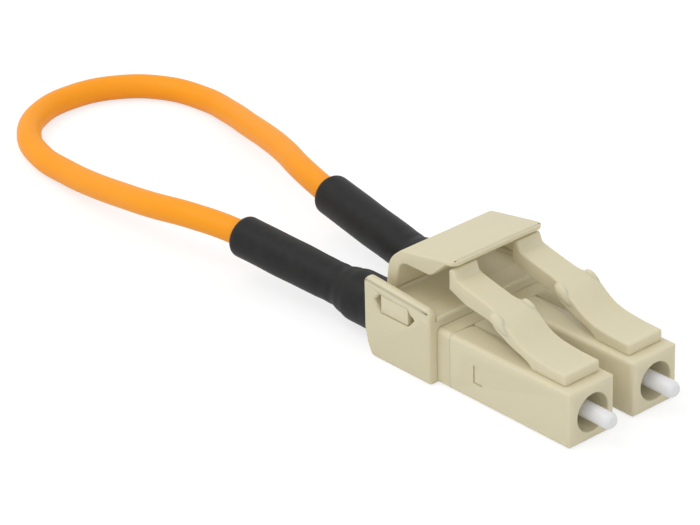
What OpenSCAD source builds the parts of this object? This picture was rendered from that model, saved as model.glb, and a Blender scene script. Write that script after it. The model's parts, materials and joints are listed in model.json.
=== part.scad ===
// Duplex fibre loopback plug: two small connectors in one two-part clip,
// joined behind by a short loop of cable. Plugging direction +X, +Z up.
// It stands on Z = 0, with the origin under the middle of the plug.

/* [Plug] */
// Distance between the two connectors' axes
pitch = 6.25; // [6.0:0.05:8]
// Running clearance round parts that slide or turn
run_gap = 0.04; // [0.02:0.01:0.08]
// Clearance between parts that are assembled and then stay still
seat_gap = 0.03; // [0.01:0.01:0.06]

/* [Housing] */
// Width and height of a connector's square housing
housing_w = 4.45; // [4.2:0.05:5]
// Length of the front housing
housing_l = 12; // [11.5:0.1:14]
// Rounding along the housing's long edges
edge_r = 0.4; // [0.1:0.05:0.6]
// Rounding round the housing's front face
nose_r = 0.5; // [0.1:0.05:0.6]
// Bore of the mouth that takes the adapter's sleeve
mouth_d = 2.95; // [2.8:0.05:3.2]
// Depth of the mouth
mouth_l = 4.2; // [3.5:0.1:5]
// Width of the fine slot along the housing's top
slot_w = 0.12; // [0.08:0.02:0.2]
// Length of that slot
slot_l = 2.9; // [2:0.1:3.5]
// Wall between the mouth and the spring chamber
mouth_wall = 1; // [0.6:0.1:1.4]
// Bore of the chamber behind that wall
chamber_d = 3.3; // [3.2:0.05:3.5]

/* [Latch] */
// Width across the latch's two shoulders
latch_w = 3.5; // [3:0.1:4]
// Width of the latch's tail
tail_w = 2.4; // [1.8:0.1:2.8]
// Height of the latch's root block above the housing
root_h = 0.92; // [0.7:0.02:1.1]
// Distance from the front face to the root block
root_x = 1.05; // [0.8:0.05:1.5]
// Distance from the front face to the latch's flexing line
flex_x = 4.85; // [4.6:0.05:5.2]
// Thickness of the latch at its flexing line
flex_t = 0.76; // [0.6:0.02:0.9]
// Clear height under the latch at its flexing line
flex_gap = 0.4; // [0.3:0.05:0.6]
// Distance from the front face to the back of the shoulders
shoulder_x = 8.7; // [8.3:0.1:9.2]
// Distance from the clip's front face to the end of the tail
tail_back = 0.18; // [0.1:0.02:0.4]
// Height of the raised end of the tail above the housing
tail_h = 4.5; // [4.2:0.05:4.55]
// Radius of the shoulders' rear edges
shoulder_r = 0.4; // [0.3:0.05:0.5]
// Width of the crease beside each shoulder
crease_d = 0.24; // [0.1:0.02:0.3]
// Downward angle of the crease
crease_dip = 12; // [8:1:16]

/* [Ferrule] */
// Diameter of the ferrule
ferrule_d = 1.25; // [1.2:0.01:1.3]
// Diameter of the rear end of the ferrule's taper, inside its holder
grip_d = 1.15; // [1:0.05:1.2]
// Length of the ferrule
ferrule_l = 7.8; // [7.2:0.05:8.1]
// How far the ferrule stands out of the front face
ferrule_out = 1.95; // [1.5:0.05:2.2]
// Length of the chamfer at the ferrule's tip
tip_chamfer = 0.3; // [0.1:0.05:0.5]
// Diameter of the holder's flange
flange_d = 3; // [2.8:0.05:3.1]
// Thickness of the holder's flange
flange_t = 1.15; // [0.8:0.05:1.3]
// Diameter of the holder's front barrel
holder_d = 2; // [1.8:0.05:2.2]
// Outer diameter of the holder's tail, inside the spring
holder_tail_d = 1.5; // [1.35:0.05:1.6]
// Length of the holder's tail
holder_tail_l = 2.4; // [2:0.1:2.8]
// Travel of the ferrule when it is pushed back
ferrule_travel = 1; // [0.6:0.1:1.2]

/* [Spring] */
// Wire of the ferrule's spring
wire_d = 0.26; // [0.2:0.02:0.3]
// Mean diameter of the coil
coil_d = 2; // [1.95:0.05:2.1]
// Number of turns
coil_turns = 6; // [4:1:7]

/* [Rear body] */
// Width and height of the neck held by the clip
neck_w = 3; // [2.8:0.05:3.1]
// Thickness of the collar that closes the housing
collar_t = 1.3; // [1:0.1:1.6]
// Length of the nose that goes into the housing
nose_l = 3.7; // [3.4:0.1:4]
// Bore of the spring's pocket
pocket_d = 2.5; // [2.4:0.05:2.6]
// Wall behind the spring
pocket_wall = 0.6; // [0.4:0.1:1]
// Diameter of the crimp barrel
barrel_d = 2.4; // [2.2:0.05:2.6]
// Length of the crimp barrel behind the clip
barrel_l = 3.2; // [2.8:0.1:3.6]
// Distance from the middle of the snap lugs to the housing's rear end
lug_back = 2.8; // [2.4:0.1:3]
// Length of a snap lug
lug_l = 0.8; // [0.6:0.05:1]
// Height of a snap lug
lug_h = 1.35; // [1:0.05:1.6]

/* [Crimp and shrink sleeve] */
// Wall of the crimp ring
crimp_t = 0.35; // [0.25:0.05:0.45]
// Wall of the shrink sleeve over the crimp ring
sleeve_t = 0.42; // [0.3:0.02:0.5]
// Diameter of the shrink sleeve over the cable
sleeve_d = 3.22; // [3:0.02:3.4]
// Length of the shrink sleeve behind its bend
sleeve_l = 14.4; // [12:0.1:17]
// Outward angle of the sleeve
splay = 6.3; // [4:0.1:8]
// Upward angle of the sleeve
rise = 5.2; // [3:0.1:6]

/* [Clip] */
// Length of the clip
clip_l = 6.86; // [6.5:0.05:7.5]
// Outer width of the clip
clip_w = 12.16; // [12:0.02:12.6]
// Height of the clip's side plates
plate_h = 6.55; // [6.2:0.05:6.8]
// Height of the saddle's floor
saddle_h = 4.98; // [4.9:0.02:5.1]
// Length of the snap tab in each side plate
tab_l = 2.8; // [2:0.1:3.2]
// Height of the snap tab
tab_h = 1.4; // [1:0.1:1.6]
// Height of the snap tab's middle above the underside
tab_z = 4.69; // [4.6:0.01:4.8]
// Length of the notch at each end of the tab's window
notch_l = 0.6; // [0.3:0.05:0.8]

/* [Trigger] */
// Width of the trigger
trigger_w = 9; // [8:0.1:9.1]
// Thickness of the trigger's curved rear wall
trigger_t = 1; // [0.8:0.05:1.2]
// Height of the trigger's tip above the clip's floor
trigger_tip_h = 4.66; // [4.6:0.02:4.8]
// Thickness of the trigger's tip
trigger_tip_t = 0.42; // [0.3:0.02:0.5]
// Distance from the clip's rear face to the trigger's rear wall
trigger_back = 0.7; // [0.5:0.05:1]
// How far the trigger's tip reaches in front of the clip
trigger_out = 0.84; // [0.6:0.02:0.9]

/* [Cable] */
// Diameter of the cable's jacket
cable_d = 2; // [1.8:0.1:2]
// Diameter of the buffered fibre inside it
fibre_d = 0.9; // [0.6:0.05:0.9]

/* [Hidden] */
$fn = 48;

axis_h = housing_w / 2;
beige = [0.86, 0.82, 0.70];
black = [0.16, 0.16, 0.155];

// Places along the plug, counted backwards from the housings' front faces
clip_front = housing_l + collar_t + seat_gap;
clip_back = clip_front + clip_l;
barrel_end = clip_back + barrel_l;
bend_x = clip_back + barrel_l * 0.56;
seat_x = mouth_l + mouth_wall + seat_gap;
flange_back = seat_x + flange_t;
pocket_x = housing_l - nose_l;
pocket_end = housing_l - pocket_wall;
lug_x = housing_l - lug_back;
tail_x = clip_front - tail_back;

// The sleeve's end, which sets how far back the plug reaches
sleeve_tilt = acos(cos(splay) * cos(rise));
sleeve_end_r = 0.5;
plug_back = bend_x + (sleeve_l - sleeve_end_r) * cos(sleeve_tilt)
    + (sleeve_d / 2 - sleeve_end_r) * sin(sleeve_tilt) + sleeve_end_r;
mouth_x = (plug_back - ferrule_out) / 2;

// Latch and trigger hinge lines
flex_z = housing_w + flex_gap + flex_t / 2;
foot_x = clip_back - trigger_back - trigger_t / 2;
foot_z = saddle_h + 0.62;
tip_x = clip_front - trigger_out;
tip_z = saddle_h + trigger_tip_h;

// Free run of the cable between the two sleeves, as it lies
cable_run = [
    [-22.9, -5.55, 3.65], [-26.9, -6.05, 3.25], [-30.9, -5.8, 2.55], [-34.9, -5.4, 1.85],
    [-38.9, -4.8, 1.25], [-42.9, -4.2, 1], [-46.6, -2.6, 1], [-49.2, 0.5, 1],
    [-49.9, 4.4, 1], [-48.7, 8.2, 1], [-45.8, 10.9, 1], [-42, 11.9, 1],
    [-38, 11.3, 1.35], [-34.2, 10.05, 1.95], [-30.4, 8.7, 2.65], [-26.7, 7.25, 3.25],
    [-22.9, 5.65, 3.65]
];

// ---- Outlines with rounded corners -------------------------------------

function unit(v) = v / norm(v);

// One corner b of an outline between its neighbours a and c, as an arc of radius b[2]
function corner(a, b, c, steps) =
    let (p = [b[0], b[1]], r = is_undef(b[2]) ? 0 : b[2])
    r <= 0 ? [p] :
    let (
        u = unit([a[0], a[1]] - p),
        v = unit([c[0], c[1]] - p),
        half = acos(max(-1, min(1, u * v))) / 2,
        centre = p + unit(u + v) * r / sin(half),
        from = p + u * r / tan(half) - centre,
        to = p + v * r / tan(half) - centre,
        sweep = 180 - 2 * half
    )
    [for (i = [0 : steps])
        centre + (from * sin(sweep * (1 - i / steps)) + to * sin(sweep * i / steps)) / sin(sweep)];

// An outline of points [x, y, corner radius]
function rounded(points, steps = 5) =
    let (n = len(points))
    [for (i = [0 : n - 1])
        each corner(points[(i + n - 1) % n], points[i], points[(i + 1) % n], steps)];

function box_outline(w, h, r) =
    rounded([[-w / 2, -h / 2, r], [w / 2, -h / 2, r], [w / 2, h / 2, r], [-w / 2, h / 2, r]]);

// ---- Placing ------------------------------------------------------------

// Draws a connector's piece on its own axis: side is -1 for a and +1 for b
module connector(side) {
    translate([mouth_x, side * pitch / 2, 0])
        children();
}

// Extrudes a side-view outline (x, z) across the width w, centred
module across(outline, w) {
    translate([0, w / 2, 0])
        rotate([90, 0, 0])
            linear_extrude(w)
                polygon(outline);
}

// Extrudes a plan outline (x, y) from z0 to z1
module upright(outline, z0, z1) {
    translate([0, 0, z0])
        linear_extrude(z1 - z0)
            polygon(outline);
}

// Extrudes a front-view outline (y, z) from x0 to x1
module along(outline, x0, x1) {
    translate([x0, 0, 0])
        rotate([90, 0, 90])
            linear_extrude(x1 - x0)
                polygon(outline);
}

// A round bar on the connector's axis from x0 to x1
module bar(d, x0, x1) {
    translate([x0, 0, axis_h])
        rotate([0, 90, 0])
            cylinder(d = d, h = x1 - x0);
}

// A round bar across the plug
module cross_bar(d, w, x, z) {
    translate([x, w / 2, z])
        rotate([90, 0, 0])
            cylinder(d = d, h = w);
}

// The square section that the housing and the collar behind it share
module square_section(x0, x1) {
    translate([0, 0, axis_h])
        along(box_outline(housing_w, housing_w, edge_r), x0, x1);
}

// ---- Front housing and latch ---------------------------------------------

root_top = housing_w + root_h;
root_edge_r = 0.25;
slot_end = 0.15;
slot_depth = 0.25;

// The block that carries the latch, with the flexing line's round seat
module latch_root() {
    profile = rounded([
        [-root_x, housing_w - 0.5], [-root_x, root_top, root_edge_r],
        [-root_x - 2, root_top + 0.02, 3], [-flex_x, flex_z + flex_t / 2],
        [-flex_x, flex_z - flex_t / 2], [-flex_x + 0.35, housing_w + 0.1, 0.2],
        [-flex_x + 0.35, housing_w - 0.5]
    ]);
    plan = rounded([
        [-root_x, -latch_w / 2, 0.3], [-root_x, latch_w / 2, 0.3],
        [-flex_x, latch_w / 2], [-flex_x, -latch_w / 2]
    ]);
    difference() {
        intersection() {
            across(profile, latch_w);
            upright(plan, 0, root_top + 1);
        }
        cross_bar(flex_t + 2 * run_gap, latch_w + 1, -flex_x, flex_z);
    }
}

module front_housing(side) {
    shell_side = rounded([
        [-housing_l, 0], [0, 0, nose_r], [0, housing_w, nose_r], [-housing_l, housing_w]
    ]);
    shell_plan = rounded([
        [-housing_l, -housing_w / 2], [0, -housing_w / 2, nose_r],
        [0, housing_w / 2, nose_r], [-housing_l, housing_w / 2]
    ]);
    color(beige)
        connector(side)
            difference() {
                union() {
                    intersection() {
                        square_section(-housing_l, 0);
                        across(shell_side, housing_w);
                        upright(shell_plan, 0, housing_w);
                    }
                    latch_root();
                }
                // mouth, with a small lead-in
                bar(mouth_d, -mouth_l, 1);
                // hole for the ferrule's holder
                bar(holder_d + 2 * run_gap, -mouth_l - mouth_wall - 1, -mouth_l + 1);
                // chamber for the flange, the spring and the rear body's nose
                bar(chamber_d, -housing_l - 1, -mouth_l - mouth_wall);
                // fine slot in the top, with a pin mark at its rear end
                translate([-housing_l + slot_end, -slot_w / 2, housing_w - slot_depth])
                    cube([slot_l, slot_w, 1]);
                translate([-housing_l + slot_end, 0, housing_w - slot_depth])
                    cylinder(d = 2.5 * slot_w, h = 1);
                // windows for the snap lugs
                translate([-lug_x, 0, axis_h])
                    cube([lug_l + 0.1, housing_w + 1, lug_h + 0.1], center = true);
            }
}

module latch_arm(side) {
    tail_top = housing_w + tail_h;
    flex_top = flex_z + flex_t / 2;
    flex_low = flex_z - flex_t / 2;
    crest_x = shoulder_x - 1;
    crest_z = tail_top - 1.85;
    tail = rounded([
        [-flex_x - 1, flex_low + 0.5], [-flex_x - 1, flex_top + 0.2],
        [-flex_x - 1.4, flex_top + 0.62, 2.5], [-crest_x, crest_z, 1.2],
        [-tail_x + 0.75, tail_top - 0.72, 0.15], [-tail_x + 0.42, tail_top, 0.12],
        [-tail_x, tail_top, 0.1], [-tail_x, tail_top - 1.72, 0.2],
        [-tail_x + 1.75, tail_top - 2.38, 1.5], [-shoulder_x, tail_top - 2.7, 0.3]
    ]);
    wide = rounded([
        [-flex_x, flex_top], [-flex_x - 1.4, flex_top + 0.62, 2.5],
        [-crest_x, crest_z, 1.2], [-shoulder_x, crest_z + 0.22, shoulder_r],
        [-shoulder_x, tail_top - 2.9, 0.3], [-flex_x - 1.3, flex_low + 0.35, 2],
        [-flex_x, flex_low]
    ]);
    plan = rounded([
        [-flex_x + 1, -latch_w / 2], [-flex_x + 1, latch_w / 2],
        [-shoulder_x, latch_w / 2, 0.3], [-shoulder_x, -latch_w / 2, 0.3]
    ]);
    color(beige)
        connector(side)
            difference() {
                union() {
                    across(tail, tail_w);
                    intersection() {
                        across(wide, latch_w);
                        upright(plan, 0, tail_top + 1);
                    }
                    cross_bar(flex_t, latch_w, -flex_x, flex_z);
                }
                // crease between the tail and each shoulder
                for (flank = [-1, 1])
                    translate([-shoulder_x - 0.5, flank * (tail_w / 2 + crease_d / 2), crest_z + 0.4])
                        rotate([0, 90 + crease_dip, 0])
                            cylinder(d = crease_d, h = 2.2);
            }
}

// ---- Ferrule, its holder and spring --------------------------------------

// How far the holder's front end sits behind the floor of the mouth
holder_in = 0.1;
grip_l = ferrule_l - ferrule_out - mouth_l - holder_in + 0.05;

module ferrule(side) {
    color("white")
        connector(side)
            translate([ferrule_out - ferrule_l, 0, axis_h])
                rotate([0, 90, 0])
                    rotate_extrude()
                        polygon([
                            [0, 0], [grip_d / 2, 0], [ferrule_d / 2, grip_l],
                            [ferrule_d / 2, ferrule_l - tip_chamfer],
                            [ferrule_d / 2 - 0.2, ferrule_l], [0, ferrule_l]
                        ]);
}

module ferrule_holder(side) {
    ferrule_back = ferrule_out - ferrule_l;
    color([0.75, 0.76, 0.78])
        connector(side)
            difference() {
                union() {
                    bar(holder_d, -flange_back, -mouth_l - holder_in);
                    bar(flange_d, -flange_back, -seat_x);
                    bar(holder_tail_d, -flange_back - holder_tail_l, -flange_back);
                }
                // tapered seat of the ferrule
                translate([ferrule_back, 0, axis_h])
                    rotate([0, 90, 0])
                        cylinder(d1 = grip_d, d2 = ferrule_d, h = grip_l);
                bar(fibre_d + 2 * run_gap, -flange_back - holder_tail_l - 1, ferrule_back - 0.4);
            }
}

spring_front = flange_back + wire_d / 2 + seat_gap;
spring_back = pocket_end - wire_d / 2 - seat_gap;

// Ring k of the spring's wire: sides corners round the coil's path at one angle
function spring_ring(turn, sides = 6) =
    let (a = 360 * turn,
         x = -spring_front - (spring_back - spring_front) * turn / coil_turns,
         out = [0, cos(a), sin(a)])
    [for (i = [0 : sides - 1])
        [x, 0, axis_h] + out * (coil_d / 2 + wire_d / 2 * cos(360 * i / sides))
            + [wire_d / 2 * sin(360 * i / sides), 0, 0]];

module spring(side) {
    per_turn = 14;
    rings = [for (k = [0 : per_turn * coil_turns]) spring_ring(k / per_turn)];
    color("silver")
        connector(side)
            skin(rings);
}

// ---- Rear body, fibre and crimp --------------------------------------------

module rear_body(side) {
    color(beige)
        connector(side)
            difference() {
                union() {
                    square_section(-housing_l - collar_t, -housing_l - seat_gap);
                    bar(chamber_d - 2 * seat_gap, -housing_l - 0.5, -pocket_x);
                    translate([-lug_x, 0, axis_h])
                        cube([lug_l, housing_w - 0.16, lug_h], center = true);
                    translate([0, 0, axis_h])
                        along(box_outline(neck_w, neck_w, 0.3), -clip_back, -housing_l - 0.5);
                    bar(barrel_d, -barrel_end, -clip_back + 0.5);
                }
                bar(pocket_d, -pocket_end, -pocket_x + 1);
                bar(fibre_d + 2 * seat_gap, -barrel_end - 1, -pocket_end + 1);
            }
}

module fibre(side) {
    front = flange_back + ferrule_travel + 0.1;
    color([0.95, 0.93, 0.85])
        connector(side)
            bar(fibre_d, -barrel_end, -front);
}

module crimp_sleeve(side) {
    color([0.78, 0.68, 0.42])
        connector(side)
            difference() {
                bar(barrel_d + 2 * seat_gap + 2 * crimp_t, -barrel_end, -clip_back - 0.1);
                bar(barrel_d + 2 * seat_gap, -barrel_end - 1, -clip_back + 1);
            }
}

// ---- Shrink sleeve -----------------------------------------------------------

crimp_outer = barrel_d + 2 * seat_gap + 2 * crimp_t;
sleeve_front_d = crimp_outer + 2 * seat_gap + 2 * sleeve_t;

// Draws along the bent part of the sleeve, with +Z pointing away from the plug
module bent(side) {
    translate([-bend_x, 0, axis_h])
        rotate([0, 0, -side * splay])
            rotate([0, -90 + rise, 0])
                children();
}

module sleeve(side) {
    bulge_l = barrel_end - bend_x + 0.1;
    cone_end = bulge_l + 1.9;
    color(black)
        connector(side)
            difference() {
                union() {
                    bar(sleeve_front_d, -barrel_end - 0.1, -clip_back - 0.1);
                    bent(side)
                        rotate_extrude()
                            polygon(rounded([
                                [0, 0], [sleeve_front_d / 2, 0],
                                [sleeve_front_d / 2, bulge_l, 1.2],
                                [sleeve_d / 2, cone_end, 1.2],
                                [sleeve_d / 2, sleeve_l, sleeve_end_r],
                                [0, sleeve_l]
                            ]));
                }
                bar(crimp_outer + 2 * seat_gap, -barrel_end - 0.1, -clip_back + 1);
                bent(side)
                    cylinder(d = cable_d, h = sleeve_l + 1);
            }
}

// ---- Clip ----------------------------------------------------------------------

plate_in = pitch / 2 + neck_w / 2 + 2 * seat_gap;
plate_t = clip_w / 2 - plate_in;
neck_floor = axis_h - neck_w / 2 - seat_gap;
neck_roof = axis_h + neck_w / 2 + seat_gap;
tab_x = clip_back - 1.74 - tab_l / 2;

module clip_holder() {
    plate = rounded([
        [-clip_front, 0], [-clip_front, plate_h, 0.6],
        [-clip_back + 0.15, plate_h, 0.5], [-clip_back, plate_h - 0.6, 0.3],
        [-clip_back, 2.2, 0.3], [-clip_back + 0.25, 1, 0.3], [-clip_back + 0.75, 0]
    ]);
    window = [
        [-tab_x + tab_l / 2 + 0.06 + notch_l, tab_z - 0.05],
        [-tab_x + tab_l / 2 + 0.06, tab_z + tab_h / 2 + 0.06],
        [-tab_x - tab_l / 2 - 0.06, tab_z + tab_h / 2 + 0.06],
        [-tab_x - tab_l / 2 - 0.06 - notch_l, tab_z + 0.1],
        [-tab_x - tab_l / 2 - 0.06, tab_z - tab_h / 2 - 0.06],
        [-tab_x + tab_l / 2 + 0.06, tab_z - tab_h / 2 - 0.06]
    ];
    outer = rounded([
        [-clip_w / 2, 0, 0.35], [clip_w / 2, 0, 0.35],
        [clip_w / 2, plate_h, 0.4], [-clip_w / 2, plate_h, 0.4]
    ]);
    rib_half = pitch / 2 - neck_w / 2 - seat_gap;
    color(beige)
        translate([mouth_x, 0, 0])
            difference() {
                intersection() {
                    across(plate, clip_w);
                    along(outer, -clip_back, -clip_front);
                }
                // space above the necks, between the side plates
                translate([-clip_back - 1, -plate_in, neck_roof - seat_gap])
                    cube([clip_l + 2, 2 * plate_in, plate_h]);
                // one channel for each neck
                for (side = [-1, 1])
                    translate([-clip_back - 1, side * pitch / 2 - neck_w / 2 - seat_gap, neck_floor])
                        cube([clip_l + 2, neck_w + 2 * seat_gap, plate_h]);
                // coring of the rib between the channels
                translate([-clip_back + 0.8, -rib_half + 0.8, neck_floor])
                    cube([clip_l - 1.6, 2 * rib_half - 1.6, plate_h]);
                across(window, clip_w + 2);
            }
}

module clip_saddle() {
    saddle_w = 2 * plate_in - 2 * seat_gap - 0.06;
    rail_w = 0.5;
    rail_top = tab_z + tab_h / 2;
    body = rounded([
        [-clip_front, neck_roof], [-clip_front, saddle_h, 0.12],
        [-foot_x + trigger_t / 2, saddle_h, 0.25], [-foot_x + trigger_t / 2, foot_z],
        [-foot_x - trigger_t / 2, foot_z], [-foot_x - trigger_t / 2, neck_roof]
    ]);
    color(beige)
        translate([mouth_x, 0, 0])
            difference() {
                union() {
                    across(body, saddle_w);
                    // rails that carry the tabs
                    for (side = [-1, 1])
                        translate([-foot_x, side * (saddle_w - rail_w) / 2 - rail_w / 2, neck_roof])
                            cube([foot_x - tab_x + tab_l / 2, rail_w, rail_top - neck_roof]);
                    // snap tabs, a little below the outer face of the plates
                    translate([-tab_x - tab_l / 2, -clip_w / 2 + 0.06, tab_z - tab_h / 2])
                        cube([tab_l, clip_w - 0.12, tab_h]);
                }
                // clear the space between the tabs
                translate([-foot_x + trigger_t / 2, -saddle_w / 2 + rail_w, saddle_h])
                    cube([clip_l, saddle_w - 2 * rail_w, plate_h]);
                cross_bar(trigger_t + 2 * run_gap, clip_w, -foot_x, foot_z);
            }
}

// ---- Trigger ---------------------------------------------------------------------

module trigger() {
    slope = tan(10.4);
    shoulder = -foot_x + 1.05;
    profile = rounded([
        [-foot_x - trigger_t / 2, foot_z],
        [-foot_x - trigger_t / 2 + 0.25, tip_z - 2.1, 2.2],
        [shoulder, tip_z + (-tip_x - shoulder) * -slope, 0.9],
        [-tip_x, tip_z, 0.15],
        [-tip_x, tip_z - trigger_tip_t, 0.1],
        [-tip_x - 0.8, tip_z - trigger_tip_t - 0.03, 0.6],
        [-tip_x - 2.4, tip_z - 1.94, 1.1],
        [-foot_x + trigger_t / 2 + 0.5, tip_z - 1.95, 0.9],
        [-foot_x + trigger_t / 2, foot_z]
    ], 7);
    plan = rounded([
        [-foot_x - trigger_t, -trigger_w / 2], [-tip_x, -trigger_w / 2, 0.6],
        [-tip_x, trigger_w / 2, 0.6], [-foot_x - trigger_t, trigger_w / 2]
    ]);
    color(beige)
        translate([mouth_x, 0, 0])
            union() {
                intersection() {
                    across(profile, trigger_w);
                    upright(plan, 0, tip_z + 1);
                }
                cross_bar(trigger_t, trigger_w, -foot_x, foot_z);
            }
}

// ---- Cable -------------------------------------------------------------------------

// A point on the bent part of a sleeve, at distance t behind its bend
function on_sleeve(side, t) =
    [mouth_x - bend_x, side * pitch / 2, axis_h]
    + t * [-cos(splay) * cos(rise), side * sin(splay) * cos(rise), sin(rise)];

cable_start = barrel_end - bend_x + 0.3;
route = concat(
    [on_sleeve(-1, cable_start), on_sleeve(-1, sleeve_l / 2), on_sleeve(-1, sleeve_l)],
    cable_run,
    [on_sleeve(1, sleeve_l), on_sleeve(1, sleeve_l / 2), on_sleeve(1, cable_start)]
);

// A ring of the cable's jacket at route point k, square to the route there
function jacket_ring(k, sides = 8) =
    let (
        last = len(route) - 1,
        way = unit(route[min(last, k + 1)] - route[max(0, k - 1)]),
        across_way = unit(cross(way, [0, 0, 1])),
        up_way = cross(across_way, way)
    )
    [for (i = [0 : sides - 1])
        route[k] + cable_d / 2 * (across_way * cos(360 * i / sides) + up_way * sin(360 * i / sides))];

// Joins rings of equally many points into one closed tube
module skin(rings) {
    sides = len(rings[0]);
    count = len(rings);
    polyhedron(
        points = [for (ring = rings) each ring],
        faces = concat(
            [[for (i = [0 : sides - 1]) i]],
            [for (k = [0 : count - 2], i = [0 : sides - 1])
                let (j = (i + 1) % sides)
                [k * sides + j, k * sides + i, (k + 1) * sides + i, (k + 1) * sides + j]],
            [[for (i = [sides - 1 : -1 : 0]) (count - 1) * sides + i]]
        )
    );
}

module cable() {
    color("orange")
        skin([for (k = [0 : len(route) - 1]) jacket_ring(k)]);
}

front_housing(-1);  // front_housing_a
front_housing(1);  // front_housing_b
latch_arm(-1);  // latch_arm_a
latch_arm(1);  // latch_arm_b
ferrule(-1);  // ferrule_a
ferrule(1);  // ferrule_b
ferrule_holder(-1);  // ferrule_holder_a
ferrule_holder(1);  // ferrule_holder_b
spring(-1);  // spring_a
spring(1);  // spring_b
rear_body(-1);  // rear_body_a
rear_body(1);  // rear_body_b
fibre(-1);  // fibre_a
fibre(1);  // fibre_b
crimp_sleeve(-1);  // crimp_sleeve_a
crimp_sleeve(1);  // crimp_sleeve_b
sleeve(-1);  // sleeve_a
sleeve(1);  // sleeve_b
clip_holder();
clip_saddle();
trigger();
cable();
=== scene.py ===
"""Duplex fibre loopback plug: finishes, softened mouldings, shrink sleeves and the cable.

Lengths are metres in the model's own frame: +X is the plugging direction and +Z is up.
"""

import json
import math

import bmesh
import bpy
from mathutils import Matrix, Vector, noise


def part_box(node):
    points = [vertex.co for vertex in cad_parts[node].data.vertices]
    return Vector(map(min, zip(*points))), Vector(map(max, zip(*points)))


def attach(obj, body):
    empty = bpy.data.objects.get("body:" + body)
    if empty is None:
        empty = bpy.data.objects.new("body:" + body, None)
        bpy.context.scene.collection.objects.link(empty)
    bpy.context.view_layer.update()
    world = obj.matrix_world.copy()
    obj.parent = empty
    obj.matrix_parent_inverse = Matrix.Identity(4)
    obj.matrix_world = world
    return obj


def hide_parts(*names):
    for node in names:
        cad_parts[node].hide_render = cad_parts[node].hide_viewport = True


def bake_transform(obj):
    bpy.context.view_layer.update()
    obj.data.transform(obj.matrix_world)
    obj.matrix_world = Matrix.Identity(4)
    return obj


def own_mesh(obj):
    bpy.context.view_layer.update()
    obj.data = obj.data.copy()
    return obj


MM = 0.001

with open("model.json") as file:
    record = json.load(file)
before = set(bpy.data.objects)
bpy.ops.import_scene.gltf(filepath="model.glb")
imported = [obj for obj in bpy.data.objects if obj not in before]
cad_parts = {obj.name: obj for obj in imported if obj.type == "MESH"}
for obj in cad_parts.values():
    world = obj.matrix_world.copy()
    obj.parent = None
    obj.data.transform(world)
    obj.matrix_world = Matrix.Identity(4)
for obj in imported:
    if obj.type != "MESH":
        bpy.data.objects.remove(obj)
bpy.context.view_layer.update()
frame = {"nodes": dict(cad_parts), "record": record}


def mm(*values):
    """A point given in millimetres."""
    return Vector(values) * MM


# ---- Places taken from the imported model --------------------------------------

housing_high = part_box("front_housing_a")[1]
ferrule_low, ferrule_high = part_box("ferrule_a")
clip_low, clip_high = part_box("clip_holder")
crimp_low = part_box("crimp_sleeve_a")[0]

mouth_x = housing_high.x
axis_y = (ferrule_low.y + ferrule_high.y) / 2
axis_z = (ferrule_low.z + ferrule_high.z) / 2

# Which side of the middle each connector is on
SIDES = {"a": -1, "b": 1}


def middle_of(letter):
    """The sideways place of a connector's axis."""
    return SIDES[letter] * -axis_y


# ---- Camera ------------------------------------------------------------------

VIEW_AZIMUTH = 48.36
VIEW_ELEVATION = 27.97
VIEW_ROLL = -1.3
VIEW_DISTANCE = 277.66 * MM
VIEW_CENTRE = mm(-2.78, -7.49, 7.99)
LENS = 200.8


def camera():
    """The camera, looking down at the mouths of the plug from their left."""
    turn = math.radians(VIEW_AZIMUTH)
    lift = math.radians(VIEW_ELEVATION)
    roll = math.radians(VIEW_ROLL)
    back = Vector(
        (math.sin(turn) * math.cos(lift), -math.cos(turn) * math.cos(lift), math.sin(lift))
    )
    level = Vector((math.cos(turn), math.sin(turn), 0))
    upright = back.cross(level)
    right = level * math.cos(roll) + upright * math.sin(roll)
    up = upright * math.cos(roll) - level * math.sin(roll)
    data = bpy.data.cameras.new("camera")
    data.lens = LENS
    data.clip_start = 0.01
    data.clip_end = 10
    eye = bpy.data.objects.new("camera", data)
    turned = Matrix((right, up, back)).transposed().to_4x4()
    eye.matrix_world = Matrix.Translation(VIEW_CENTRE + back * VIEW_DISTANCE) @ turned
    bpy.context.scene.collection.objects.link(eye)
    bpy.context.scene.camera = eye


camera()

# ---- Shader maths ------------------------------------------------------------


class Socket:
    """A shader output: arithmetic on it adds Math nodes to its material."""

    def __init__(self, paint, out):
        self.paint = paint
        self.out = out

    def maths(self, operation, *terms):
        """A Math node on the terms, which are outputs or plain numbers."""
        settings = {"operation": operation}
        return self.paint.add("ShaderNodeMath", settings, dict(enumerate(terms)))

    def __add__(self, other):
        return self.maths("ADD", self, other)

    def __mul__(self, other):
        return self.maths("MULTIPLY", self, other)

    __radd__ = __add__
    __rmul__ = __mul__


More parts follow.
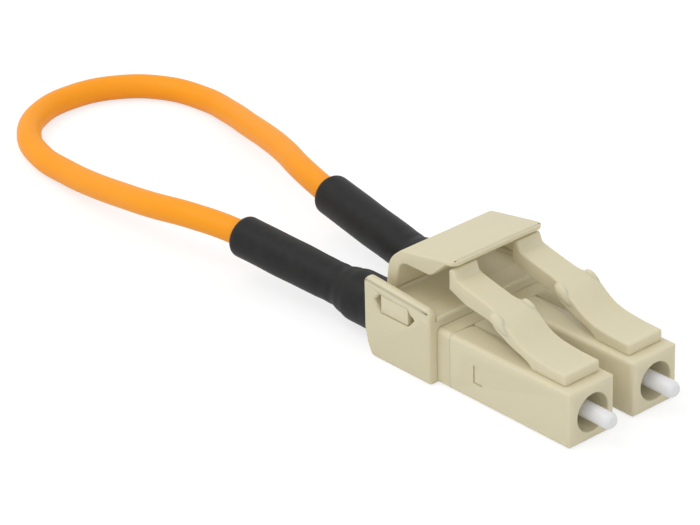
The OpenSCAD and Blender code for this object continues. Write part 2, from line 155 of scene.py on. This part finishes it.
class Paint:
    """A node material with one Principled shader, built by adding nodes."""

    def __init__(self, name, **constants):
        self.material = bpy.data.materials.new(name)
        self.material.use_nodes = True
        self.tree = self.material.node_tree
        self.shader = self.tree.nodes["Principled BSDF"]
        self.place = self.add("ShaderNodeTexCoord", {}, {}, "Object")
        for socket, value in constants.items():
            self.shader.inputs[socket.replace("_", " ")].default_value = value

    def add(self, kind, settings, sockets, out=0):
        """Adds any node: its settings first, then the values or links of its sockets."""
        node = self.tree.nodes.new(kind)
        for name, value in settings.items():
            setattr(node, name, value)
        for key, value in sockets.items():
            self.feed(node.inputs[key], value)
        return Socket(self, node.outputs[out])

    def feed(self, target, value):
        """Links a socket or sets a plain value."""
        if isinstance(value, Socket):
            self.tree.links.new(value.out, target)
        else:
            target.default_value = value

    def noise(self, size, detail=2.0, stretch=(1, 1, 1), softness=0.5):
        """Noise from 0 to 1 whose grains are about the given size."""
        spot = self.add("ShaderNodeMapping", {}, {"Vector": self.place, "Scale": stretch})
        sockets = {"Vector": spot, "Scale": 1 / size, "Detail": detail, "Roughness": softness}
        return self.add("ShaderNodeTexNoise", {}, sockets, "Fac")

    def ramp(self, value, low, high):
        """The value spread from 0 at low to 1 at high."""
        sockets = {"Value": value, "From Min": low, "From Max": high}
        return self.add("ShaderNodeMapRange", {"interpolation_type": "SMOOTHSTEP"}, sockets)

    def blend(self, share, first, second):
        """A colour between two colours, through the colour sockets of a Mix node."""
        sockets = {0: share, 6: first, 7: second}
        return self.add("ShaderNodeMix", {"data_type": "RGBA"}, sockets, out=2)

    def bump(self, height, depth, strength=1.0, under=None):
        """A bump of that depth, on top of another one if it is given."""
        sockets = {"Height": height, "Distance": depth, "Strength": strength}
        if under is not None:
            sockets["Normal"] = under
        return self.add("ShaderNodeBump", {}, sockets)

    def set(self, **links):
        """Feeds the shader's named sockets and returns the finished material."""
        for socket, value in links.items():
            self.feed(self.shader.inputs[socket.replace("_", " ")], value)
        return self.material


def rgb(red, green, blue):
    """An opaque colour."""
    return (red, green, blue, 1.0)


def grey(level):
    """An opaque grey, or white at 1."""
    return rgb(level, level, level)


# ---- Finishes ----------------------------------------------------------------


def beige_moulding():
    """Satin beige plastic from a fine-grained mould, with a painted highlight that pales its
    edges.
    """
    paint = Paint(
        "beige_plastic",
        IOR=1.46,
        Subsurface_Weight=0.22,
        Subsurface_Radius=(1.0, 0.8, 0.42),
        Subsurface_Scale=0.45 * MM,
    )
    cloud = paint.noise(3.1 * MM, detail=3)
    fleck = paint.noise(0.35 * MM, detail=2)
    grain = paint.noise(0.05 * MM, detail=2)
    ripple = paint.noise(1.6 * MM, detail=1)
    # Painted highlight: convex edges, found by their pointiness, are blended towards a paler
    # colour that stands in for the light they catch
    edge = paint.add("ShaderNodeNewGeometry", {}, {}, "Pointiness")
    rim = paint.ramp(edge, 0.505, 0.56)
    deep = rgb(0.665, 0.605, 0.415)
    pale = rgb(0.715, 0.655, 0.46)
    # The paler colour of the painted edge highlight
    edge_highlight = rgb(0.75, 0.69, 0.5)
    body = paint.blend(cloud * 0.6 + fleck * 0.4, deep, pale)
    soft = paint.bump(ripple, 0.012 * MM, 0.35)
    return paint.set(
        Base_Color=paint.blend(rim * 0.5, body, edge_highlight),
        Roughness=fleck * 0.12 + cloud * 0.08 + 0.4,
        Normal=paint.bump(grain, 0.004 * MM, 0.5, under=soft),
    )


def ceramic():
    """White zirconia, ground smooth along its length."""
    paint = Paint("white_ceramic", IOR=1.5)
    cloud = paint.noise(0.9 * MM, detail=2)
    ground = paint.noise(0.06 * MM, detail=1, stretch=(0.15, 1, 1))
    colour = paint.blend(cloud, rgb(0.77, 0.77, 0.78), rgb(0.83, 0.83, 0.84))
    return paint.set(
        Base_Color=colour,
        Roughness=cloud * 0.08 + 0.22,
        Normal=paint.bump(ground, 0.002 * MM, 0.4),
    )


def metal(name, dull, bright, roughness):
    """Turned or drawn metal with fine marks round it."""
    paint = Paint(name, Metallic=1.0)
    marks = paint.noise(0.08 * MM, detail=2, stretch=(3, 0.4, 0.4))
    colour = paint.blend(marks, dull, bright)
    return paint.set(
        Base_Color=colour,
        Roughness=marks * 0.15 + roughness,
        Normal=paint.bump(marks, 0.003 * MM, 0.5),
    )


def buffer_coat():
    """The milky coat of the buffered fibre."""
    paint = Paint("fibre_buffer")
    cloud = paint.noise(0.6 * MM)
    colour = paint.blend(cloud, rgb(0.78, 0.76, 0.68), rgb(0.86, 0.85, 0.79))
    return paint.set(Base_Color=colour, Roughness=cloud * 0.1 + 0.4)


def shrink_tube():
    """Matt black shrink tube: faint dust, long soft pulls and a fine skin."""
    paint = Paint("black_shrink_sleeve", IOR=1.36)
    dust = paint.noise(0.7 * MM, detail=4, softness=0.6)
    pulls = paint.noise(0.5 * MM, detail=2, stretch=(0.22, 1, 1))
    skin = paint.noise(0.05 * MM, detail=2)
    clean = rgb(0.0075, 0.0072, 0.007)
    dusty = rgb(0.014, 0.0135, 0.013)
    colour = paint.blend(paint.ramp(dust, 0.35, 0.75), clean, dusty)
    soft = paint.bump(pulls, 0.03 * MM, 0.4)
    return paint.set(
        Base_Color=colour,
        Roughness=dust * 0.12 + 0.5,
        Normal=paint.bump(skin, 0.004 * MM, 0.6, under=soft),
    )


def orange_jacket():
    """Extruded orange jacket, smooth but for a fine skin and shallow dents."""
    paint = Paint("orange_jacket", IOR=1.35)
    cloud = paint.noise(2.4 * MM, detail=3)
    skin = paint.noise(0.09 * MM, detail=2)
    dents = paint.noise(1.1 * MM, detail=1)
    colour = paint.blend(cloud, rgb(0.97, 0.335, 0.006), rgb(1.0, 0.375, 0.01))
    soft = paint.bump(dents, 0.02 * MM, 0.3)
    return paint.set(
        Base_Color=colour,
        Roughness=cloud * 0.1 + skin * 0.06 + 0.42,
        Normal=paint.bump(skin, 0.004 * MM, 0.5, under=soft),
    )


FINISHES = {
    "beige_plastic": beige_moulding(),
    "white_ceramic": ceramic(),
    "holder_metal": metal("holder_metal", rgb(0.55, 0.55, 0.56), rgb(0.68, 0.68, 0.69), 0.28),
    "spring_steel": metal("spring_steel", rgb(0.5, 0.5, 0.51), rgb(0.64, 0.64, 0.65), 0.25),
    "fibre_buffer": buffer_coat(),
    "crimp_metal": metal("crimp_metal", rgb(0.62, 0.5, 0.26), rgb(0.74, 0.62, 0.36), 0.3),
    "black_shrink_sleeve": shrink_tube(),
    "orange_jacket": orange_jacket(),
}

for part in frame["record"]["subparts"]:
    cad_piece = frame["nodes"][part["node"]]
    cad_piece.data.materials.clear()
    cad_piece.data.materials.append(FINISHES[part["material_slot"]])

# ---- Making pieces -----------------------------------------------------------

# Points of a copied mesh that are closer than this are one point
MERGE = 0.0008 * MM
# Faces that differ by less than this angle are joined into one
FLAT = math.radians(0.6)


def piece(bm, name, slot, body=None, *, crease):
    """A finished piece of the plug, smooth where its faces turn by less than crease degrees."""
    bmesh.ops.recalc_face_normals(bm, faces=bm.faces)
    mesh = bpy.data.meshes.new(name)
    bm.to_mesh(mesh)
    bm.free()
    mesh.shade_smooth()
    mesh.set_sharp_from_angle(angle=math.radians(crease))
    made = bpy.data.objects.new(name, mesh)
    bpy.context.scene.collection.objects.link(made)
    made.data.materials.append(FINISHES[slot])
    if body:
        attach(made, body)
    return made


def copy_of(node):
    """A merged copy of a CAD node's mesh with its flat faces joined up."""
    bm = bmesh.new()
    bm.from_mesh(frame["nodes"][node].data)
    bmesh.ops.remove_doubles(bm, verts=bm.verts, dist=MERGE)
    bmesh.ops.dissolve_limit(bm, angle_limit=FLAT, verts=bm.verts, edges=bm.edges)
    return bm


def pull(bm, faces, keep=False):
    """Extrudes an end face and returns the new one. The old one goes unless it is a cap."""
    grown = bmesh.ops.extrude_face_region(bm, geom=faces)["geom"]
    if not keep:
        bmesh.ops.delete(bm, geom=faces, context="FACES_ONLY")
    return [item for item in grown if isinstance(item, bmesh.types.BMFace)]


def soften(bm, radius, segments, sharper_than, where=None):
    """Rounds the outward edges sharper than an angle in degrees, as a mould leaves them.

    The bevel works on the mesh in millimetres, because metres are too coarse for it.
    """
    limit = math.radians(sharper_than)
    edges = [
        edge
        for edge in bm.edges
        if edge.is_manifold
        and edge.is_convex
        and edge.calc_face_angle() > limit
        and (where is None or where(edge))
    ]
    bmesh.ops.scale(bm, verts=bm.verts, vec=(1 / MM,) * 3)
    bmesh.ops.bevel(
        bm,
        geom=edges,
        offset=radius / MM,
        offset_type="OFFSET",
        segments=segments,
        profile=0.5,
        affect="EDGES",
        clamp_overlap=False,
        material=-1,
    )
    bmesh.ops.scale(bm, verts=bm.verts, vec=(MM,) * 3)


# ---- Cable -------------------------------------------------------------------

# How far behind its bend the model's sleeve ends, and the share of that distance at
# which the cable starts inside it
SLEEVE_L = 14.4 * MM
TUCKED = 0.9
# How far behind its bend each shrink sleeve ends, which is a little sooner
CUT_L = {-1: 13.55 * MM, 1: 14.05 * MM}
# Outward and upward angle of the sleeves
SPLAY = math.radians(6.3)
RISE = math.radians(5.2)
# Share of the crimp barrel's length at which a sleeve bends
BARREL_SHARE = 0.56
CABLE_D = 2 * MM
bend_x = clip_low.x - BARREL_SHARE * (clip_low.x - crimp_low.x)


def sleeve_way(side):
    """The direction in which a sleeve runs behind its bend."""
    level = math.cos(RISE)
    return Vector((-math.cos(SPLAY) * level, side * math.sin(SPLAY) * level, math.sin(RISE)))


def on_sleeve(side, distance):
    """A point on a sleeve's axis at a distance behind its bend."""
    return Vector((bend_x, -side * axis_y, axis_z)) + sleeve_way(side) * distance


# The cable's free run, in the order from one sleeve to the other
CABLE_RUN = [
    mm(-22.9, -5.55, 3.65),
    mm(-26.9, -6.05, 3.25),
    mm(-30.9, -5.8, 2.55),
    mm(-34.9, -5.4, 1.85),
    mm(-38.9, -4.8, 1.25),
    mm(-42.9, -4.2, 1),
    mm(-46.6, -2.6, 1),
    mm(-49.2, 0.5, 1),
    mm(-49.9, 4.4, 1),
    mm(-48.7, 8.2, 1),
    mm(-45.8, 10.9, 1),
    mm(-42, 11.9, 1),
    mm(-38, 11.3, 1.35),
    mm(-34.2, 10.05, 1.95),
    mm(-30.4, 8.7, 2.65),
    mm(-26.7, 7.25, 3.25),
    mm(-22.9, 5.65, 3.65),
]


def cable():
    """The free run of the cable, from inside one sleeve to inside the other."""
    tucked = TUCKED * SLEEVE_L
    route = [on_sleeve(-1, tucked), on_sleeve(-1, SLEEVE_L), *CABLE_RUN]
    route += [on_sleeve(1, SLEEVE_L), on_sleeve(1, tucked)]
    curve = bpy.data.curves.new("orange_cable", "CURVE")
    curve.dimensions = "3D"
    curve.bevel_depth = CABLE_D / 2
    curve.bevel_resolution = 10
    curve.resolution_u = 14
    curve.use_fill_caps = True
    spline = curve.splines.new("BEZIER")
    spline.bezier_points.add(len(route) - 1)
    for knot, place in zip(spline.bezier_points, route):
        knot.co = place
        knot.handle_left_type = "AUTO"
        knot.handle_right_type = "AUTO"
    cord = bpy.data.objects.new("orange_cable", curve)
    bpy.context.scene.collection.objects.link(cord)
    curve.materials.append(FINISHES["orange_jacket"])
    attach(cord, "plug")
    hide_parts("cable")
    tuple(on_sleeve(-1, CUT_L[-1]))


cable()

# ---- Shrink sleeves ----------------------------------------------------------

SLEEVE_D = 3.22 * MM
BULGE_D = 4.06 * MM
SLEEVE_END_R = 0.5 * MM
SLEEVE_SIDES = 56
SLEEVE_STEPS = 62
END_STEPS = 6
# How far a sleeve reaches into the clip, and how far its end turns in over the cable
FRONT_TUCK = 0.1 * MM
END_TUCK = 1.2 * MM
# The inner lip of the end: its step inwards, and its gaps to the cable
LIP_STEP = 0.02 * MM
LIP_GAP = 0.03 * MM
INNER_GAP = 0.01 * MM
# Length on each side of the bend over which the sleeve turns
BEND_HALF = 0.9 * MM
# The taper behind the bulge, as distances behind the bend
TAPER_START = 1.5 * MM
TAPER_END = 3.7 * MM
# Creases round the sleeve in millimetres: distance behind the bend, depth, half width
CREASES = ((2.3, 0.05, 0.22), (3.3, 0.06, 0.26), (4.4, 0.03, 0.4))
# Slight unevenness of the shrunk wall: the size of its waves, their height, and a shift
# that makes the two sleeves differ
WAVE = 2.6 * MM
WAVE_H = 0.05 * MM
WAVE_SHIFT = 7


def held(share):
    """A share held between 0 and 1."""
    return max(0.0, min(1.0, share))


def sleeve_frame(side, distance):
    """The place and turn of a sleeve's section at a distance behind its bend."""
    share = held((distance + BEND_HALF) / (2 * BEND_HALF))
    straight = Vector((-1, 0, 0))
    way = straight.lerp(sleeve_way(side), share).normalized()
    if distance > 0:
        place = on_sleeve(side, distance)
    else:
        place = on_sleeve(side, 0) + straight * distance
    return Matrix.Translation(place) @ way.to_track_quat("Z", "Y").to_matrix().to_4x4()


def sleeve_radius(distance):
    """Radius along the sleeve: the bulge over the crimp, a creased taper, then plain."""
    share = held((distance - TAPER_START) / (TAPER_END - TAPER_START))
    share = share * share * (3 - 2 * share)
    radius = BULGE_D / 2 + (SLEEVE_D - BULGE_D) / 2 * share
    for place, depth, width in CREASES:
        radius -= depth * MM * math.exp(-(((distance / MM - place) / width) ** 2))
    return radius


def sleeve_stations(cut):
    """Distances and radii of a sleeve's sections, from the clip to inside its outer end."""
    start = bend_x - (clip_low.x - FRONT_TUCK)
    stations = []
    for k in range(SLEEVE_STEPS + 1):
        distance = start + (cut - SLEEVE_END_R - start) * k / SLEEVE_STEPS
        stations.append((distance, sleeve_radius(distance)))
    for k in range(1, END_STEPS + 1):
        turn = math.pi / 2 * k / END_STEPS
        distance = cut - SLEEVE_END_R + SLEEVE_END_R * math.sin(turn)
        stations.append((distance, SLEEVE_D / 2 - SLEEVE_END_R * (1 - math.cos(turn))))
    stations.append((cut - LIP_STEP, CABLE_D / 2 + LIP_GAP))
    stations.append((cut - END_TUCK, CABLE_D / 2 + INNER_GAP))
    return stations


def shrink_sleeve(letter):
    """One sleeve, drawn section by section along the crimp and the cable."""
    side = SIDES[letter]
    stations = sleeve_stations(CUT_L[side])
    bm = bmesh.new()
    bmesh.ops.create_circle(bm, cap_ends=True, segments=SLEEVE_SIDES, radius=1)
    first = sleeve_frame(side, stations[0][0]) @ Matrix.Scale(stations[0][1], 4)
    bmesh.ops.transform(bm, matrix=first, verts=bm.verts)
    before = first
    end_face = bm.faces[:]
    for distance, radius in stations[1:]:
        here = sleeve_frame(side, distance) @ Matrix.Scale(radius, 4)
        end_face = pull(bm, end_face, keep=before is first)
        bmesh.ops.transform(bm, matrix=here @ before.inverted(), verts=end_face[0].verts[:])
        before = here
    for vert in bm.verts:
        wave = noise.noise(vert.co / WAVE + Vector((side * WAVE_SHIFT, 0, 0)))
        vert.co += vert.normal * wave * WAVE_H
    made = piece(bm, f"shrink_sleeve_{letter}", "black_shrink_sleeve", "plug", crease=60)
    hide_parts(f"sleeve_{letter}")


for letter in SIDES:
    shrink_sleeve(letter)

# ---- Housings and latches ----------------------------------------------------

# The shells are cut this little below their top, to take off the roots of the latches
SHELL_CUT = 0.004 * MM
MOUTH_EDGE_R = 0.11 * MM
# The mouth's rim is sought this near its axis, and this near the front face
MOUTH_REACH = 1.6 * MM
MOUTH_DEPTH = 0.3 * MM
# The rounding of a ferrule's end, and how near the end it is made
TIP_EDGE_R = 0.09 * MM
TIP_L = 0.6 * MM
body_top = 2 * axis_z


def plug_x(distance):
    """The place that lies a distance in millimetres behind the housings' front faces."""
    return mouth_x - distance * MM


def housing_shell(letter):
    """The housing's shell, cut just below its top, with a rounded mouth."""
    bm = copy_of(f"front_housing_{letter}")
    cut = bmesh.ops.bisect_plane(
        bm,
        geom=bm.verts[:] + bm.edges[:] + bm.faces[:],
        plane_co=(0, 0, body_top - SHELL_CUT),
        plane_no=(0, 0, 1),
        clear_outer=True,
    )
    rim = [item for item in cut["geom_cut"] if isinstance(item, bmesh.types.BMEdge)]
    bmesh.ops.triangle_fill(bm, edges=rim, use_dissolve=True)
    bmesh.ops.recalc_face_normals(bm, faces=bm.faces)
    middle = middle_of(letter)

    def at_mouth(edge):
        """Whether an edge is on the rim of the mouth."""
        return all(
            vert.co.x > mouth_x - MOUTH_DEPTH
            and math.hypot(vert.co.y - middle, vert.co.z - axis_z) < MOUTH_REACH
            for vert in edge.verts
        )

    soften(bm, MOUTH_EDGE_R, segments=3, sharper_than=50, where=at_mouth)
    made = piece(bm, f"housing_shell_{letter}", "beige_plastic", "plug", crease=40)
    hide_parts(f"front_housing_{letter}")


# Side profile and half width of a latch in millimetres, from its raised tail to the end
# of its root: distance behind the front face, underside, top, half width
LATCH = [
    (13.19, 7.3, 8.72, 1.14),
    (13.1, 7.22, 8.9, 1.2),
    (12.8, 7.11, 8.95, 1.2),
    (12.68, 7.06, 8.86, 1.2),
    (12.45, 6.97, 8.3, 1.2),
    (12.25, 6.89, 8.19, 1.2),
    (11.4, 6.57, 7.99, 1.2),
    (10.2, 6.42, 7.73, 1.2),
    (9.2, 6.29, 7.52, 1.21),
    (8.7, 6.17, 7.42, 1.27),
    (8.3, 6.08, 7.33, 1.46),
    (7.9, 6.0, 7.24, 1.6),
    (7.4, 5.86, 7.05, 1.65),
    (6.9, 5.61, 6.74, 1.64),
    (6.4, 5.37, 6.4, 1.62),
    (5.9, 5.2, 6.08, 1.61),
    (5.4, 5.04, 5.82, 1.62),
    (4.9, 4.86, 5.66, 1.64),
    (4.55, 4.62, 5.57, 1.66),
    (4.35, 4.43, 5.53, 1.67),
    (3.6, 4.43, 5.44, 1.68),
    (2.7, 4.43, 5.37, 1.69),
    (1.6, 4.43, 5.35, 1.69),
    (1.05, 4.43, 5.35, 1.69),
]
LATCH_EDGE_R = 0.17 * MM
# Half sizes of a shoulder and its place in millimetres, which is how far back, how far
# out from the middle of the arm and how high, and its tilt in degrees
LOBE = (0.92, 0.36, 0.46)
LOBE_PLACE = (7.72, 1.5, 6.76)
LOBE_TILT = 33
# How a shoulder thins to its front, swells to its rear and is drawn out forward
LOBE_THIN = 0.42
LOBE_SWELL = 0.1
LOBE_DRAW = 1.5


def lobe(bm, middle, side):
    """A rounded shoulder beside the arm: blunt behind and drawn out to the front."""
    made = bmesh.ops.create_uvsphere(bm, u_segments=24, v_segments=16, radius=1)["verts"]
    for vert in made:
        taper = 1 - LOBE_THIN * max(0.0, vert.co.x) - LOBE_SWELL * min(0.0, vert.co.x)
        vert.co.y *= taper
        vert.co.z *= taper
        if vert.co.x > 0:
            vert.co.x *= LOBE_DRAW
    size = Matrix.Diagonal((*[value * MM for value in LOBE], 1))
    tilt = Matrix.Rotation(math.radians(LOBE_TILT), 4, "Y")
    back, out, high = LOBE_PLACE
    place = Matrix.Translation((plug_x(back), middle + side * out * MM, high * MM))
    bmesh.ops.transform(bm, matrix=place @ tilt @ size, verts=made)


def latch(letter):
    """A latch in one piece from its tail to the root on the housing."""
    middle = middle_of(letter)
    bm = bmesh.new()
    bmesh.ops.create_grid(bm, x_segments=1, y_segments=1, size=1)
    face = bm.faces[:]
    corners = [(vert.co.x > 0, vert.co.y > 0) for vert in face[0].verts]
    for count, (back, low, high, half) in enumerate(LATCH):
        if count > 0:
            face = pull(bm, face, keep=count == 1)
            corners = [(vert.co.y > middle, vert.co.z > level) for vert in face[0].verts]
        for vert, (right, top) in zip(face[0].verts, corners):
            across = half if right else -half
            height = high if top else low
            vert.co = (plug_x(back), middle + across * MM, height * MM)
        level = (low + high) / 2 * MM
    bmesh.ops.recalc_face_normals(bm, faces=bm.faces)
    soften(bm, LATCH_EDGE_R, segments=4, sharper_than=50)
    for side in (-1, 1):
        lobe(bm, middle, side)
    made = piece(bm, f"latch_{letter}", "beige_plastic", crease=60)
    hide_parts(f"latch_arm_{letter}")
    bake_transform(made)


def ferrule_pin(letter):
    """The ceramic ferrule with its ground, rounded end."""
    bm = copy_of(f"ferrule_{letter}")

    def at_tip(edge):
        """Whether an edge is near the ferrule's end."""
        return edge.verts[0].co.x > ferrule_high.x - TIP_L

    soften(bm, TIP_EDGE_R, segments=3, sharper_than=20, where=at_tip)
    made = piece(bm, f"ferrule_pin_{letter}", "white_ceramic", f"ferrule_{letter}", crease=35)
    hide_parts(f"ferrule_{letter}")


def spring_coil(letter):
    """The ferrule's spring, on a mesh of its own."""
    bm = copy_of(f"spring_{letter}")
    made = piece(bm, f"spring_coil_{letter}", "spring_steel", "plug", crease=75)
    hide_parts(f"spring_{letter}")
    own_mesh(made)


for letter in SIDES:
    housing_shell(letter)
    latch(letter)
    ferrule_pin(letter)
    spring_coil(letter)

# ---- Clip --------------------------------------------------------------------

# The floor of the clip's upper half, and the step that it leaves in the plates
FLOOR_Z = 4.97 * MM
LEDGE_GAP = 0.03 * MM
# The plates above that floor: their thickness, from where their tops are lowered, how
# much of that height stays, and how far they fall to the front
PLATE_FACE = 0.72 * MM
PLATE_LOW = 5.6 * MM
PLATE_DROP = 0.85
PLATE_FALL = 0.42 * MM
# The rounding of their rims, and the slack with which a point counts as on a plate
RIM_R = 0.2 * MM
SLACK = 0.01 * MM
# The windows of the plates, which keep their sharp edges
WINDOW_X = (-1.6 * MM, 2.1 * MM)
WINDOW_Z = (3.7 * MM, 5.58 * MM)
# The upper half: what lies above and outside these is carried out to near the plates
CARRIED_Z = 4.5 * MM
CARRIED_Y = 4 * MM
UPPER_GAP = 0.08 * MM
UPPER_EDGE_R = 0.06 * MM
# The ridge along its front: depth, height, gap at both ends, setback, rise of its middle
RIDGE_T = 0.32 * MM
RIDGE_H = 0.5 * MM
RIDGE_GAP = 0.05 * MM
RIDGE_BACK = 0.17 * MM
RIDGE_RISE = 0.02 * MM
TRIGGER_EDGE_R = 0.14 * MM
plate_in = clip_high.y - PLATE_FACE


def thin_plates(bm):
    """Thins the side plates above the upper half's floor and lowers their tops a little."""
    for level in (FLOOR_Z - LEDGE_GAP, FLOOR_Z):
        bmesh.ops.bisect_plane(
            bm,
            geom=bm.verts[:] + bm.edges[:] + bm.faces[:],
            plane_co=(0, 0, level),
            plane_no=(0, 0, 1),
        )
    for vert in bm.verts:
        if vert.co.z > FLOOR_Z - LEDGE_GAP / 2 and abs(vert.co.y) < plate_in:
            vert.co.y = math.copysign(plate_in, vert.co.y)
        if vert.co.z > PLATE_LOW:
            along = (vert.co.x - clip_low.x) / (clip_high.x - clip_low.x)
            lowered = PLATE_LOW + (vert.co.z - PLATE_LOW) * PLATE_DROP
            vert.co.z = lowered - PLATE_FALL * along


def is_rim(edge):
    """Whether an edge is on a plate and not on its window."""
    on_plate = all(abs(vert.co.y) > plate_in - SLACK for vert in edge.verts)
    on_window = all(
        WINDOW_X[0] < vert.co.x < WINDOW_X[1] and WINDOW_Z[0] < vert.co.z < WINDOW_Z[1]
        for vert in edge.verts
    )
    return on_plate and not on_window


def clip_tray():
    """The lower half of the clip, with thin plates whose rims are rounded."""
    bm = copy_of("clip_holder")
    thin_plates(bm)
    soften(bm, RIM_R, segments=4, sharper_than=35, where=is_rim)
    made = piece(bm, "clip_tray", "beige_plastic", "plug", crease=40)
    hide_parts("clip_holder")


def clip_upper():
    """The upper half of the clip, with its floor carried out to the plates and a ridge."""
    bm = copy_of("clip_saddle")
    for vert in bm.verts:
        if vert.co.z > CARRIED_Z and CARRIED_Y < abs(vert.co.y) < plate_in:
            vert.co.y = math.copysign(plate_in - UPPER_GAP, vert.co.y)
    ridge = bmesh.ops.create_cube(bm, size=1)["verts"]
    size = Matrix.Diagonal((RIDGE_T, 2 * (plate_in - RIDGE_GAP), RIDGE_H, 1))
    place = Matrix.Translation((clip_high.x - RIDGE_BACK, 0, FLOOR_Z + RIDGE_RISE))
    bmesh.ops.transform(bm, matrix=place @ size, verts=ridge)
    soften(bm, UPPER_EDGE_R, segments=2, sharper_than=50)
    made = piece(bm, "clip_upper", "beige_plastic", "plug", crease=40)
    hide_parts("clip_saddle")


def trigger_tongue():
    """The curved trigger with softened edges."""
    bm = copy_of("trigger")
    soften(bm, TRIGGER_EDGE_R, segments=3, sharper_than=50)
    made = piece(bm, "trigger_tongue", "beige_plastic", "trigger", crease=40)
    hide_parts("trigger")


clip_tray()
clip_upper()
trigger_tongue()

# ---- Studio ------------------------------------------------------------------

# Half width of the floor, and how little it lies below the plug
FLOOR_SIZE = 3
FLOOR_DROP = 0.02 * MM
# The floor as light meets it, and what is seen of it: a shaded part and a white glow
FLOOR_LEVEL = 0.8
SHADE_LEVEL = 0.36
GLOW_LEVEL = 0.72
SKY_LEVEL = 0.8
LAMP_SIZE = 0.3


def backdrop_floor():
    """A wide white floor that stays white to the camera and keeps a soft shadow."""
    bm = bmesh.new()
    bmesh.ops.create_grid(bm, x_segments=1, y_segments=1, size=FLOOR_SIZE)
    bmesh.ops.translate(bm, verts=bm.verts, vec=(0, 0, -FLOOR_DROP))
    mesh = bpy.data.meshes.new("floor")
    bm.to_mesh(mesh)
    bm.free()
    floor = bpy.data.objects.new("floor", mesh)
    bpy.context.scene.collection.objects.link(floor)
    paint = Paint("floor_white", Roughness=0.9, Specular_IOR_Level=0.0)
    paint.shader.inputs["Base Color"].default_value = grey(FLOOR_LEVEL)
    camera_ray = paint.add("ShaderNodeLightPath", {}, {}, "Is Camera Ray")
    glossy_ray = paint.add("ShaderNodeLightPath", {}, {}, "Is Glossy Ray")
    seen = camera_ray.maths("MAXIMUM", glossy_ray, camera_ray)
    shade = paint.add("ShaderNodeBsdfDiffuse", {}, {"Color": grey(SHADE_LEVEL)})
    light = {"Color": grey(1), "Strength": GLOW_LEVEL}
    glow = paint.add("ShaderNodeEmission", {}, light)
    shown = paint.add("ShaderNodeAddShader", {}, {0: shade, 1: glow})
    plain = Socket(paint, paint.shader.outputs["BSDF"])
    mixed = paint.add("ShaderNodeMixShader", {}, {0: seen, 1: plain, 2: shown})
    paint.tree.links.new(mixed.out, paint.tree.nodes["Material Output"].inputs["Surface"])
    mesh.materials.append(paint.material)


def sky():
    """An even surround, white where it is seen and a little dimmer as a light."""
    world = bpy.data.worlds.new("surround")
    world.use_nodes = True
    bpy.context.scene.world = world
    tree = world.node_tree
    rays = tree.nodes.new("ShaderNodeLightPath")
    seen = tree.nodes.new("ShaderNodeMath")
    seen.operation = "MAXIMUM"
    tree.links.new(rays.outputs["Is Camera Ray"], seen.inputs[0])
    tree.links.new(rays.outputs["Is Glossy Ray"], seen.inputs[1])
    spread = tree.nodes.new("ShaderNodeMapRange")
    spread.inputs["To Min"].default_value = SKY_LEVEL
    spread.inputs["To Max"].default_value = 1.0
    tree.links.new(seen.outputs[0], spread.inputs["Value"])
    shade = tree.nodes["Background"]
    shade.inputs["Color"].default_value = grey(1)
    tree.links.new(spread.outputs["Result"], shade.inputs["Strength"])


def lamp(name, place, watts):
    """A square soft box aimed at the plug."""
    data = bpy.data.lights.new(name, "AREA")
    data.shape = "SQUARE"
    data.size = LAMP_SIZE
    data.energy = watts
    light = bpy.data.objects.new(name, data)
    light.location = place
    light.rotation_mode = "QUATERNION"
    light.rotation_quaternion = (-Vector(place)).to_track_quat("-Z", "Y")
    bpy.context.scene.collection.objects.link(light)


backdrop_floor()
sky()
lamp("key", (-0.12, -0.22, 0.42), 0.55)
lamp("fill", (0.4, -0.25, 0.2), 0.12)
bpy.context.scene.view_settings.view_transform = "Standard"
